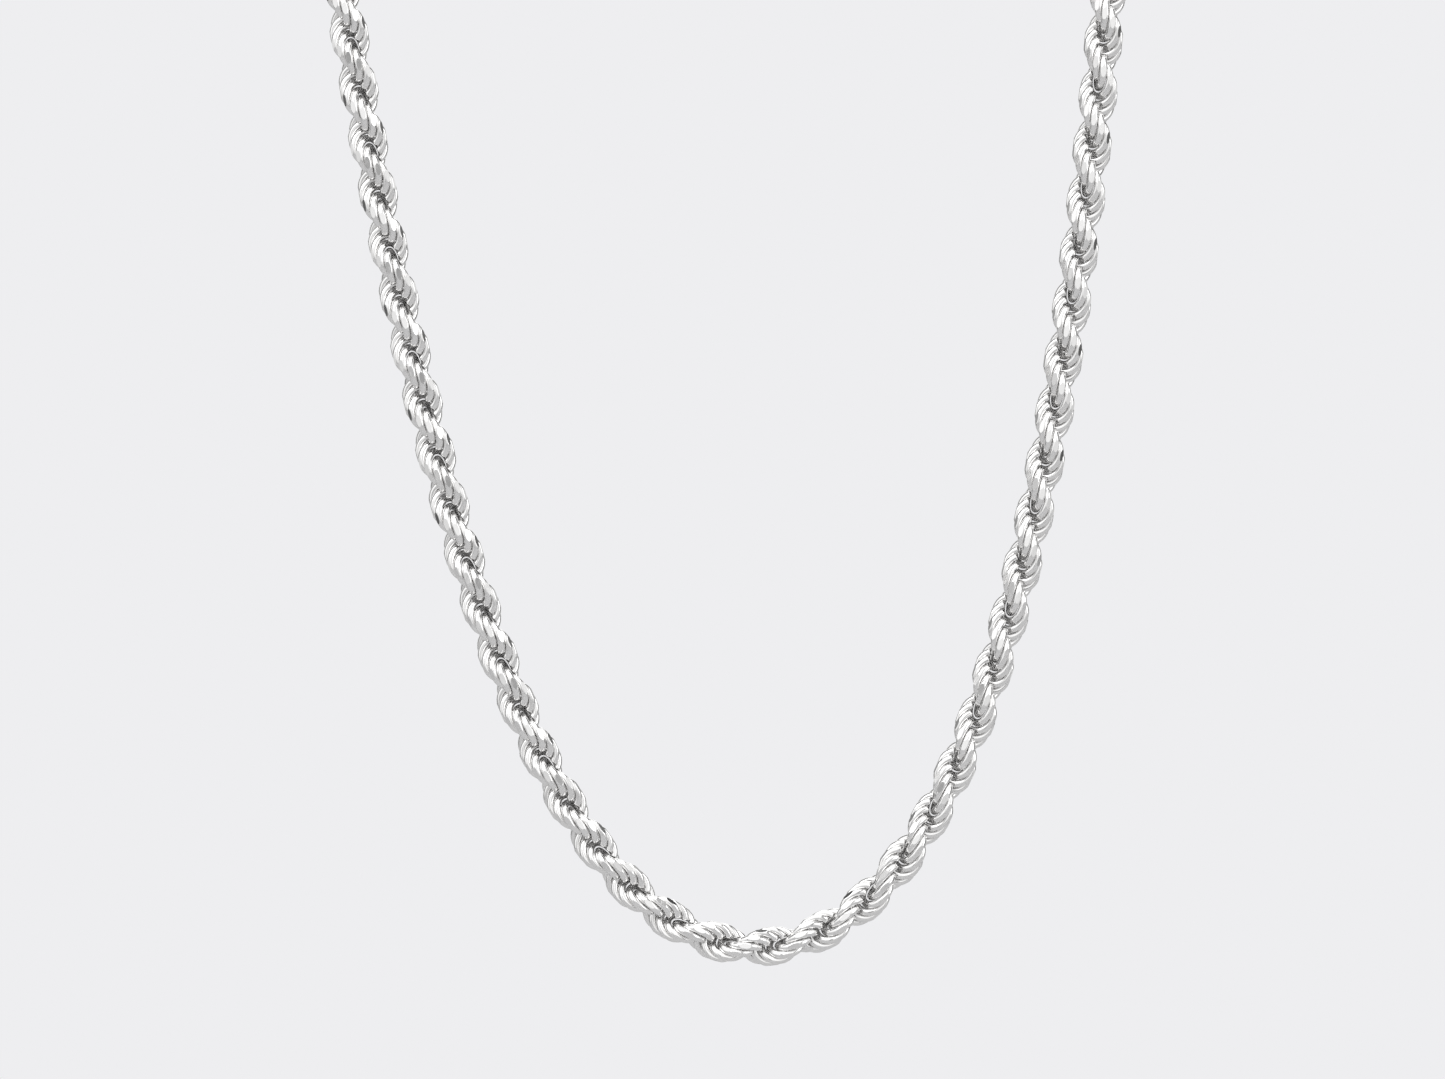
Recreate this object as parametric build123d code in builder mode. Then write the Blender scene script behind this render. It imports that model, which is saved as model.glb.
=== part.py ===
from build123d import *
import math
import os

# Rope-chain necklace in silver, hung as a closed loop with its lobster clasp fastened at the top.
#
# Millimetres. +X is the wearer's left, +Y points from the front of the necklace to its back and +Z is up.
# The origin is the centre of the round arch that lies over the neck. In the names of the pieces, left and
# right are as seen from the front, so the left half lies towards -X.

# ---------------------------------------------------------------- rope chain
NECKLACE_LENGTH = 508.0  # measured along the chain with the clasp fastened
ROPE_WIDTH = 5.0  # over the links before the facets are cut
WIRE_DIAMETER = 0.9  # round wire of the links
LINK_CLEARANCE = 0.05  # between neighbouring links on a straight length
LINK_SLACK = 1.07  # extra pitch that lets the rope bend to its tightest curve
FACET_DEPTH = 0.12  # depth of the diamond-cut flat on each side of a link
OPENING_CLEARANCE = 0.32  # play of the two strands that pass a link's opening
DRAPE_RADIUS = 17.25  # radius of the curve at the bottom of the hanging loop
LAY_STRETCH = 1.026  # length of one turn of the rope, over that of a 45 degree lay
LAY_START = math.radians(-31.0)  # turn of the rope at the lowest point of the loop

# ---------------------------------------------------------------- bends
BEND_LEVELS = 7  # pairs of bends, each pair at one height
BEND_LENGTH = 13.0  # length of rope that shares one bend
BOTTOM_HALF_LENGTH = 18.0  # rope from the lowest point to the lowest bend
ARCH_LEAD = 4.0  # rope below the arch before the first bend
ARCH_NODES = 3  # lengths of rope on each side of the arch

# ---------------------------------------------------------------- end caps
CAP_CLEARANCE = 0.15  # between the rope and the inside of a cap
CAP_WALL = 0.45
CAP_FLOOR = 0.9
CAP_DEPTH = 4.2  # inside depth of a cap
CAP_ROUND = 1.1  # rounding of the closed end
BEAD_RADIUS = 0.28  # bead round the open end
BEAD_PROUD = 0.12  # how far the bead stands out of the wall
EYE_RADIUS = 1.5  # mean radius of the loop on a cap
EYE_WIRE = 0.9
EYE_SINK = 0.2  # how deep the loop runs into the closed end

# ---------------------------------------------------------------- rings of the clasp
RING_RADIUS = 1.9  # mean radius of the ring on the clasp's eye
RING_WIRE = 0.8
CATCH_RADIUS = 2.7  # mean radius of the ring that the hook takes
CATCH_WIRE = 0.9
LINKING_PLAY = 0.15  # play between two linked rings
SEAT_PLAY = 0.3  # play of a ring in the clasp's eye or hook, which are wider than a wire

# ---------------------------------------------------------------- lobster clasp
CLASP_THICKNESS = 2.4
HOOK_RADIUS = 3.6  # outer radius of the hook end
HOOK_RIM = 0.9  # metal between the mouth and the hook's nose end
HOOK_BACK = 1.6  # metal above and below the mouth
EDGE_SHARE = 0.42  # rounding of the clasp's edges, as a share of the rim
CLASP_EYE_RADIUS = 1.75
CLASP_EYE_HOLE = 0.95
CLASP_EYE_THICKNESS = 1.4
CLASP_EYE_REACH = 9.0  # from the hook's centre to the eye's centre
PIVOT_SETBACK = 1.15  # from the hook's centre back to the lever's pivot, in hook radii
PIVOT_RISE = 1 / 3  # height of the pivot above the clasp's middle, in hook radii
LEVER_TAIL_RADIUS = 1.1
LEVER_TAIL_THICKNESS = 0.7
LEVER_LENGTH = 5.4  # from the pivot to the tip
LEVER_TURN = math.radians(28.0)  # opening turn
LEVER_CLEARANCE = 0.12
LEVER_ROOT_ANGLE = math.radians(110.0)  # how far back the lever reaches round its pivot
TAB_RADIUS = 0.55  # thumb tab on the lever
TAB_PROUD = 0.35
TAB_SHIFT = 0.7  # from the pivot towards the tip
NECK_MARGIN = math.radians(6.0)  # how far the tail's neck stays inside the lever's root
RIVET_DIAMETER = 0.8
RIVET_CLEARANCE = 0.04
RIVET_HEAD_DIAMETER = 1.4
RIVET_HEAD_HEIGHT = 0.25
SPRING_WIRE = 0.18
SPRING_TURNS = 2.5
SPRING_PITCH = 0.19
SPRING_PLAY = 0.12  # round the rivet
SPRING_LEG = 0.7

# ---------------------------------------------------------------- how closely lengths are worked out
LENGTH_TOLERANCE = 1e-9
WEDGE_SIDES = 4  # straight sides of the outline that cuts a sector

# ---------------------------------------------------------------- derived: links
LINK_RADIUS = (ROPE_WIDTH - WIRE_DIAMETER) / 2
LINK_PITCH = (WIRE_DIAMETER + LINK_CLEARANCE) * LINK_SLACK
LINK_OPENING = 2 * WIRE_DIAMETER + OPENING_CLEARANCE
LAY_RATE = 1 / (LAY_STRETCH * LINK_RADIUS)  # radians per millimetre, a left-hand lay

# ---------------------------------------------------------------- derived: clasp, along its own length
HOOK_CENTRE_X = 0.0
HOOK_MOUTH_HALF_LENGTH = HOOK_RADIUS - HOOK_RIM
HOOK_MOUTH_HALF_HEIGHT = HOOK_RADIUS - HOOK_BACK
CLASP_EDGE_ROUND = EDGE_SHARE * HOOK_RIM
CLASP_EYE_X = HOOK_CENTRE_X - CLASP_EYE_REACH
PIVOT_X = HOOK_CENTRE_X - PIVOT_SETBACK * HOOK_RADIUS
PIVOT_Z = PIVOT_RISE * HOOK_RADIUS
TAIL_SPACE = LEVER_TAIL_RADIUS + LEVER_CLEARANCE
BAND_START = TAIL_SPACE + LEVER_CLEARANCE
SLOT_HALF_WIDTH = LEVER_TAIL_THICKNESS + LEVER_CLEARANCE / 2
RING_X = CLASP_EYE_X - CLASP_EYE_HOLE + RING_WIRE / 2 + SEAT_PLAY - RING_RADIUS
LEFT_EYE_X = RING_X - RING_RADIUS - EYE_RADIUS + (RING_WIRE + EYE_WIRE) / 2 + LINKING_PLAY
CATCH_X = HOOK_CENTRE_X + HOOK_MOUTH_HALF_LENGTH - CATCH_WIRE / 2 - SEAT_PLAY + CATCH_RADIUS
RIGHT_EYE_X = CATCH_X + CATCH_RADIUS + EYE_RADIUS - (CATCH_WIRE + EYE_WIRE) / 2 - LINKING_PLAY
CLASP_SHIFT = -(LEFT_EYE_X + RIGHT_EYE_X) / 2  # centres the clasp between the two caps
HALF_SPAN = (RIGHT_EYE_X - LEFT_EYE_X) / 2

# ---------------------------------------------------------------- derived: caps, along their own length
CAP_BASE = EYE_RADIUS + EYE_WIRE / 2 - EYE_SINK
CAP_INSIDE = CAP_BASE + CAP_FLOOR
CAP_RADIUS = ROPE_WIDTH / 2 + CAP_CLEARANCE
FIRST_LINK = CAP_INSIDE + ROPE_WIDTH / 2 + CAP_CLEARANCE


def catenary_end(side):
    """Half-width, height and slope angle of the hanging curve at an arc length from its lowest point."""
    reach = DRAPE_RADIUS * math.asinh(side / DRAPE_RADIUS)
    height = math.hypot(side, DRAPE_RADIUS) - DRAPE_RADIUS
    return reach, height, math.atan2(side, DRAPE_RADIUS)


def loop_length(side):
    """Length of the whole loop whose hanging sides have this length each."""
    reach, _, slope = catenary_end(side)
    return 2 * (side + reach / math.sin(slope) * (math.pi - slope))


def hanging_side():
    """Length of one hanging side that gives the necklace its length."""
    low, high = DRAPE_RADIUS, NECKLACE_LENGTH / 2
    while high - low > LENGTH_TOLERANCE:
        middle = (low + high) / 2
        if loop_length(middle) < NECKLACE_LENGTH:
            low = middle
        else:
            high = middle
    return low


SIDE = hanging_side()
SIDE_REACH, SIDE_HEIGHT, SIDE_SLOPE = catenary_end(SIDE)
ARCH_RADIUS = SIDE_REACH / math.sin(SIDE_SLOPE)
LOWEST_Z = -SIDE_HEIGHT - ARCH_RADIUS * math.cos(SIDE_SLOPE)
CAP_ANGLE = math.atan2(FIRST_LINK, ARCH_RADIUS) + math.asin(HALF_SPAN / math.hypot(FIRST_LINK, ARCH_RADIUS))
CLASP_Z = ARCH_RADIUS * math.cos(CAP_ANGLE) + FIRST_LINK * math.sin(CAP_ANGLE)
HALF_ROPE = SIDE + ARCH_RADIUS * (math.pi - SIDE_SLOPE - CAP_ANGLE)

LINKS = int(2 * HALF_ROPE / LINK_PITCH) + 1
STEP = 2 * HALF_ROPE / (LINKS - 1)
BEND_LINKS = round(BEND_LENGTH / STEP)
ARCH_LINKS = round((HALF_ROPE - SIDE + ARCH_LEAD) / STEP)
BOTTOM_HALF_LINKS = round(BOTTOM_HALF_LENGTH / STEP)
RUN_LINKS = ((LINKS // 2) - ARCH_LINKS - BEND_LEVELS * BEND_LINKS - BOTTOM_HALF_LINKS) // (BEND_LEVELS - 1)


def rope_point(along):
    """Point, tangent and inward normal of the rope's centre line, by arc length from the lowest point."""
    side = math.copysign(1.0, along)
    length = abs(along)
    if length <= SIDE:
        slope = math.atan2(length, DRAPE_RADIUS)
        x = DRAPE_RADIUS * math.asinh(length / DRAPE_RADIUS)
        z = LOWEST_Z + math.hypot(length, DRAPE_RADIUS) - DRAPE_RADIUS
    else:
        slope = SIDE_SLOPE + (length - SIDE) / ARCH_RADIUS
        x = ARCH_RADIUS * math.sin(slope)
        z = -ARCH_RADIUS * math.cos(slope)
    tangent = Vector(math.cos(slope), 0, side * math.sin(slope))
    normal = Vector(-side * math.sin(slope), 0, math.cos(slope))
    return Vector(side * x, 0, z), tangent, normal


def link_location(index):
    """Where link number index of the rope lies, counted from the rope's left-hand end."""
    along = -HALF_ROPE + index * STEP
    point, tangent, normal = rope_point(along)
    turn = LAY_START + LAY_RATE * along
    across = normal * math.cos(turn) + Vector(0, 1, 0) * math.sin(turn)
    return Plane(origin=point, x_dir=across, z_dir=across.cross(tangent)).location


def height_of_bend(level):
    """Height of the pair of bends with this number, 1 being the highest."""
    middle = ARCH_LINKS + (level - 1) * (BEND_LINKS + RUN_LINKS) + (BEND_LINKS - 1) / 2
    return rope_point(-HALF_ROPE + middle * STEP)[0].Z


def write(piece, name):
    """Name a piece and write it to its own file."""
    piece.label = name
    export_step(piece, f"parts/{name}.step")


def build_link():
    """One open link of the rope: round wire bent to a C, with a flat cut on each side.

    Its plane is XY, the rope runs along its Y axis and its opening is at the end of that axis.
    """
    half_opening = math.degrees(LINK_OPENING / 2 / LINK_RADIUS)
    with BuildPart() as link:
        with BuildLine() as bend:
            CenterArc((0, 0), LINK_RADIUS, 90 + half_opening, 360 - 2 * half_opening)
        with BuildSketch(Plane(origin=bend.line @ 0, z_dir=bend.line % 0)):
            Circle(WIRE_DIAMETER / 2)
        sweep()
        with BuildSketch(Plane.XY.offset(-WIRE_DIAMETER)):
            with Locations(*((side * (ROPE_WIDTH - FACET_DEPTH), 0) for side in (-1, 1))):
                Rectangle(ROPE_WIDTH, ROPE_WIDTH)
        extrude(amount=2 * WIRE_DIAMETER, mode=Mode.SUBTRACT)
    return link.part


def write_rope(link, first, count, name):
    """A length of rope: links laid one after another from link number first."""
    piece = Compound(children=[link.moved(link_location(first + n)) for n in range(count)])
    write(piece, name)


def build_rope():
    """Every length of the rope, cut at the bends."""
    link = build_link()
    arch_each = [ARCH_LINKS // ARCH_NODES] * ARCH_NODES
    arch_each[0] += ARCH_LINKS - sum(arch_each)
    lengths = [(f"arch_rope_{{}}_{n + 1}", count) for n, count in enumerate(arch_each)]
    for level in range(1, BEND_LEVELS + 1):
        lengths.append((f"bend_{{}}_{level}", BEND_LINKS))
        if level < BEND_LEVELS:
            lengths.append((f"run_{{}}_{level}", RUN_LINKS))
    first = 0
    for name, count in lengths:
        write_rope(link, first, count, name.format("left"))
        write_rope(link, LINKS - first - count, count, name.format("right"))
        first += count
    left_over = LINKS - 2 * first
    outer = left_over // 3
    write_rope(link, first, outer, "bottom_left")
    write_rope(link, first + outer, left_over - 2 * outer, "bottom_centre")
    write_rope(link, LINKS - first - outer, outer, "bottom_right")


def build_end_cap(side, name):
    """A cup soldered over the last links of the rope, with the loop that the clasp's ring goes through."""
    along = side * HALF_ROPE
    point, tangent, _ = rope_point(along)
    outward = tangent * -side
    eye_centre = point - outward * FIRST_LINK
    cup_axis = Plane(origin=eye_centre, z_dir=outward, x_dir=(0, 1, 0))
    with BuildPart() as cap:
        with BuildSketch(cup_axis.offset(CAP_BASE)):
            Circle(CAP_RADIUS + CAP_WALL)
        extrude(amount=CAP_FLOOR + CAP_DEPTH)
        closed_end = cap.edges().filter_by(GeomType.CIRCLE).sort_by_distance(eye_centre)[0]
        fillet(closed_end, CAP_ROUND)
        with BuildSketch(cup_axis.offset(CAP_BASE + CAP_FLOOR)):
            Circle(CAP_RADIUS)
        extrude(amount=CAP_DEPTH + CAP_FLOOR, mode=Mode.SUBTRACT)
        with BuildLine(Plane(origin=eye_centre + outward * (CAP_INSIDE + CAP_DEPTH), z_dir=outward)) as rim:
            CenterArc((0, 0), CAP_RADIUS + CAP_WALL + BEAD_PROUD - BEAD_RADIUS, 0, 360)
        with BuildSketch(Plane(origin=rim.line @ 0, z_dir=rim.line % 0)):
            Circle(BEAD_RADIUS)
        sweep()
        with BuildLine(Plane(origin=eye_centre, z_dir=(0, 1, 0), x_dir=outward)) as eye:
            CenterArc((0, 0), EYE_RADIUS, 0, 360)
        with BuildSketch(Plane(origin=eye.line @ 0, z_dir=eye.line % 0)):
            Circle(EYE_WIRE / 2)
        sweep()
    write(cap.part, name)


def build_ring(centre_x, radius, wire, name):
    """A round ring that lies flat, threaded through its two neighbours."""
    with BuildPart() as ring:
        with BuildLine(Plane(origin=(centre_x + CLASP_SHIFT, 0, CLASP_Z), z_dir=(0, 0, 1))) as path:
            CenterArc((0, 0), radius, 0, 360)
        with BuildSketch(Plane(origin=path.line @ 0, z_dir=path.line % 0)):
            Circle(wire / 2)
        sweep()
    write(ring.part, name)


def clasp_plane(forward=0.0):
    """Where the clasp is drawn, seen from the front: x to the wearer's left and y up.

    The plane stands this far in front of the clasp's middle.
    """
    return Plane(origin=(CLASP_SHIFT, -forward, CLASP_Z), x_dir=(1, 0, 0), z_dir=(0, -1, 0))


def clasp_blank():
    """The clasp's whole claw, from which casing and lever are parted."""
    step = (CLASP_THICKNESS - CLASP_EYE_THICKNESS) / 2
    with BuildPart() as blank:
        with BuildSketch(clasp_plane(-CLASP_THICKNESS / 2)):
            with Locations((HOOK_CENTRE_X, 0)):
                Circle(HOOK_RADIUS)
            with Locations((CLASP_EYE_X, 0)):
                Circle(CLASP_EYE_RADIUS)
            make_hull()
            with Locations((HOOK_CENTRE_X, 0)):
                Ellipse(HOOK_MOUTH_HALF_LENGTH, HOOK_MOUTH_HALF_HEIGHT, mode=Mode.SUBTRACT)
        extrude(amount=CLASP_THICKNESS)
        fillet(blank.faces().filter_by(Axis.Y).edges(), CLASP_EDGE_ROUND)
        for side in (-1, 1):
            with BuildSketch(clasp_plane(side * CLASP_THICKNESS / 2)):
                with Locations((CLASP_EYE_X, 0)):
                    Rectangle(2 * CLASP_EYE_RADIUS, 2 * HOOK_RADIUS)
            extrude(amount=-side * step, mode=Mode.SUBTRACT)
        with BuildSketch(clasp_plane(-CLASP_THICKNESS)):
            with Locations((CLASP_EYE_X, 0)):
                Circle(CLASP_EYE_HOLE)
        extrude(amount=2 * CLASP_THICKNESS, mode=Mode.SUBTRACT)
    return blank.part


def sector(inner, outer, low, high):
    """Draw a sector of a ring round the lever's pivot, between two angles."""
    reach = 2 * outer
    angles = [low + (high - low) * n / WEDGE_SIDES for n in range(WEDGE_SIDES + 1)]
    rim = [(PIVOT_X + reach * math.cos(a), PIVOT_Z + reach * math.sin(a)) for a in angles]
    with Locations((PIVOT_X, PIVOT_Z)):
        Circle(outer)
        Circle(inner, mode=Mode.SUBTRACT)
    with BuildLine() as wedge:
        Polyline((PIVOT_X, PIVOT_Z), *rim, close=True)
    make_face(wedge.edges(), mode=Mode.INTERSECT)


def build_casing(blank):
    """The hook, body and eye in one piece, slotted for the lever's tail and drilled for its rivet."""
    clearance_angle = LEVER_CLEARANCE / BAND_START
    with BuildPart() as casing:
        add(blank)
        with BuildSketch(clasp_plane(-CLASP_THICKNESS)):
            sector(
                TAIL_SPACE,
                LEVER_LENGTH + LEVER_CLEARANCE,
                -LEVER_TURN - clearance_angle,
                LEVER_ROOT_ANGLE + clearance_angle,
            )
        extrude(amount=2 * CLASP_THICKNESS, mode=Mode.SUBTRACT)
        with BuildSketch(clasp_plane(-SLOT_HALF_WIDTH)):
            with Locations((PIVOT_X, PIVOT_Z)):
                Circle(TAIL_SPACE)
        extrude(amount=2 * SLOT_HALF_WIDTH, mode=Mode.SUBTRACT)
        with BuildSketch(clasp_plane(-CLASP_THICKNESS)):
            with Locations((PIVOT_X, PIVOT_Z)):
                Circle(RIVET_DIAMETER / 2)
        extrude(amount=2 * CLASP_THICKNESS, mode=Mode.SUBTRACT)
    write(casing.part, "clasp_casing")


def build_lever(blank):
    """The sprung lever that shuts the hook, with its tail in the casing and a tab for the thumb."""
    lean = math.asin((HOOK_RADIUS - CLASP_EYE_RADIUS) / CLASP_EYE_REACH)
    back_height = (
        HOOK_RADIUS + (PIVOT_X - HOOK_CENTRE_X) * math.sin(lean) - PIVOT_Z * math.cos(lean)
    )
    tab_height = back_height + TAB_PROUD - TAB_RADIUS
    tab_x = PIVOT_X - tab_height * math.sin(lean) + TAB_SHIFT * math.cos(lean)
    tab_z = PIVOT_Z + tab_height * math.cos(lean) + TAB_SHIFT * math.sin(lean)
    tab_width = CLASP_THICKNESS - 2 * CLASP_EDGE_ROUND
    with BuildPart() as lever:
        add(blank)
        with BuildSketch(clasp_plane(-CLASP_THICKNESS)):
            sector(BAND_START, LEVER_LENGTH, 0, LEVER_ROOT_ANGLE)
        extrude(amount=2 * CLASP_THICKNESS, mode=Mode.INTERSECT)
        with BuildSketch(clasp_plane(-tab_width / 2)):
            with Locations((tab_x, tab_z)):
                Circle(TAB_RADIUS)
        extrude(amount=tab_width)
        with BuildSketch(clasp_plane(-CLASP_THICKNESS)):
            with Locations((PIVOT_X, PIVOT_Z)):
                Circle(BAND_START)
        extrude(amount=2 * CLASP_THICKNESS, mode=Mode.SUBTRACT)
        with BuildSketch(clasp_plane()):
            with Locations((PIVOT_X, PIVOT_Z)):
                Circle(LEVER_TAIL_RADIUS)
        extrude(amount=LEVER_TAIL_THICKNESS)
        with BuildSketch(clasp_plane()):
            neck = BAND_START + LEVER_CLEARANCE
            sector(LEVER_TAIL_RADIUS / 2, neck, NECK_MARGIN, LEVER_ROOT_ANGLE - NECK_MARGIN)
        extrude(amount=LEVER_TAIL_THICKNESS)
        with BuildSketch(clasp_plane(-CLASP_THICKNESS)):
            with Locations((PIVOT_X, PIVOT_Z)):
                Circle(RIVET_DIAMETER / 2 + RIVET_CLEARANCE)
        extrude(amount=2 * CLASP_THICKNESS, mode=Mode.SUBTRACT)
    write(lever.part, "clasp_lever")


def build_rivet():
    """The pin that the lever turns on, with a head against each cheek of the casing."""
    with BuildPart() as rivet:
        with BuildSketch(clasp_plane(-CLASP_THICKNESS / 2)):
            with Locations((PIVOT_X, PIVOT_Z)):
                Circle(RIVET_DIAMETER / 2)
        extrude(amount=CLASP_THICKNESS)
        for side in (-1, 1):
            with BuildSketch(clasp_plane(side * CLASP_THICKNESS / 2)):
                with Locations((PIVOT_X, PIVOT_Z)):
                    Circle(RIVET_HEAD_DIAMETER / 2)
            extrude(amount=side * RIVET_HEAD_HEIGHT)
            top = rivet.faces().sort_by(Axis.Y)[0 if side > 0 else -1]
            fillet(top.edges(), RIVET_HEAD_HEIGHT / 2)
    write(rivet.part, "clasp_rivet")


def build_spring():
    """The torsion spring round the rivet that keeps the lever shut."""
    gap = (SLOT_HALF_WIDTH - SPRING_WIRE - SPRING_TURNS * SPRING_PITCH) / 2
    start = clasp_plane(-gap - SPRING_WIRE / 2).from_local_coords((PIVOT_X, PIVOT_Z, 0))
    radius = RIVET_DIAMETER / 2 + SPRING_WIRE / 2 + SPRING_PLAY
    with BuildPart() as spring:
        with BuildLine() as wire:
            coil = Helix(
                SPRING_PITCH,
                SPRING_PITCH * SPRING_TURNS,
                radius,
                center=start,
                direction=(0, 1, 0),
            )
            Line((coil @ 0) - (coil % 0) * SPRING_LEG, coil @ 0)
            Line(coil @ 1, (coil @ 1) + (coil % 1) * SPRING_LEG)
        path = wire.wire()
        with BuildSketch(Plane(origin=path @ 0, z_dir=path % 0)):
            Circle(SPRING_WIRE / 2)
        sweep(path=path, is_frenet=True)
    write(spring.part, "clasp_spring")


def main():
    """Build every piece of the necklace and write it to its own file."""
    os.makedirs("parts", exist_ok=True)
    build_rope()
    build_end_cap(-1, "end_cap_left")
    build_end_cap(1, "end_cap_right")
    build_ring(RING_X, RING_RADIUS, RING_WIRE, "clasp_ring")
    build_ring(CATCH_X, CATCH_RADIUS, CATCH_WIRE, "catch_ring")
    blank = clasp_blank()
    build_casing(blank)
    build_lever(blank)
    build_rivet()
    build_spring()
    print("links", LINKS, "pitch", round(STEP, 4), "bend", BEND_LINKS, "run", RUN_LINKS, "arch", ARCH_LINKS)
    print("arch radius", round(ARCH_RADIUS, 3), "lowest z", round(LOWEST_Z, 3), "clasp z", round(CLASP_Z, 3))
    print("bend heights", [round(height_of_bend(n), 3) for n in range(1, BEND_LEVELS + 1)])
    print("pivot", round(PIVOT_X + CLASP_SHIFT, 3), round(PIVOT_Z + CLASP_Z, 3))
    print("ring, catch x", round(RING_X + CLASP_SHIFT, 3), round(CATCH_X + CLASP_SHIFT, 3))


main()
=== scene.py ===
"""Looks of a silver rope-chain necklace that hangs as a closed loop, with a lobster clasp at its top.

Sizes are in millimetres and are turned to metres where a mesh is made. The frame is the CAD part's own: +X
to the wearer's left, +Y from the front of the loop to its back, +Z up, and the origin at the centre of the
arch over the neck.
"""

from __future__ import annotations

import logging
import math
from dataclasses import dataclass, field
from enum import Enum

import bpy
import numpy as np
from mathutils import Matrix, Vector

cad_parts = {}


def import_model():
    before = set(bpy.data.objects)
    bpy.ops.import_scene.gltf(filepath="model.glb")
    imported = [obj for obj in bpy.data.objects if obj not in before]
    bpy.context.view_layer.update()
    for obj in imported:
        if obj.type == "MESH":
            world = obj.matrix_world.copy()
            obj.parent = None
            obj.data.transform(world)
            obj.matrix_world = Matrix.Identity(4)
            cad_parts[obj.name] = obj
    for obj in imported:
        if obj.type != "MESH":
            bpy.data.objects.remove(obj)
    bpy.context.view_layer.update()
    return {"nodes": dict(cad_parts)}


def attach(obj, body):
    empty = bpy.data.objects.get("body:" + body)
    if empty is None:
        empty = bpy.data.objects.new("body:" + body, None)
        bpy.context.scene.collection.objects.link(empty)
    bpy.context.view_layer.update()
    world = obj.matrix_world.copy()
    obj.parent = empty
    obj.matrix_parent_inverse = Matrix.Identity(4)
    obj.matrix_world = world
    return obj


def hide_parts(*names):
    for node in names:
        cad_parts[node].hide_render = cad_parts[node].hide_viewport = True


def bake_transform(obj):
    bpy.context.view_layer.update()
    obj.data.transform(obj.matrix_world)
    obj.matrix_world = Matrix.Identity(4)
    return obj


logging.basicConfig(level=logging.INFO, format="%(name)s: %(message)s")
LOG = logging.getLogger("necklace")

MM = 0.001
# Exposure sets the grey of the rope's hollows: partly tarnished silver, partly painted shade between the
# links.
EXPOSURE = "exposure"  # the mesh layer that says how exposed each point of the rope is
LENGTH_TOLERANCE = 1e-9  # to which the length of the hanging sides is found
LEAST_RADIUS = 1e-6  # keeps a division by the distance from the rope's axis finite


class Side(Enum):
    """The two halves of the loop, left and right as seen from the front, as the nodes name them."""

    LEFT = "left"
    RIGHT = "right"


class Slot(Enum):
    """The record's material slots that new pieces take; the fittings keep their own."""

    SILVER = "silver"


# ---------------------------------------------------------------------------------------------- node groups


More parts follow.
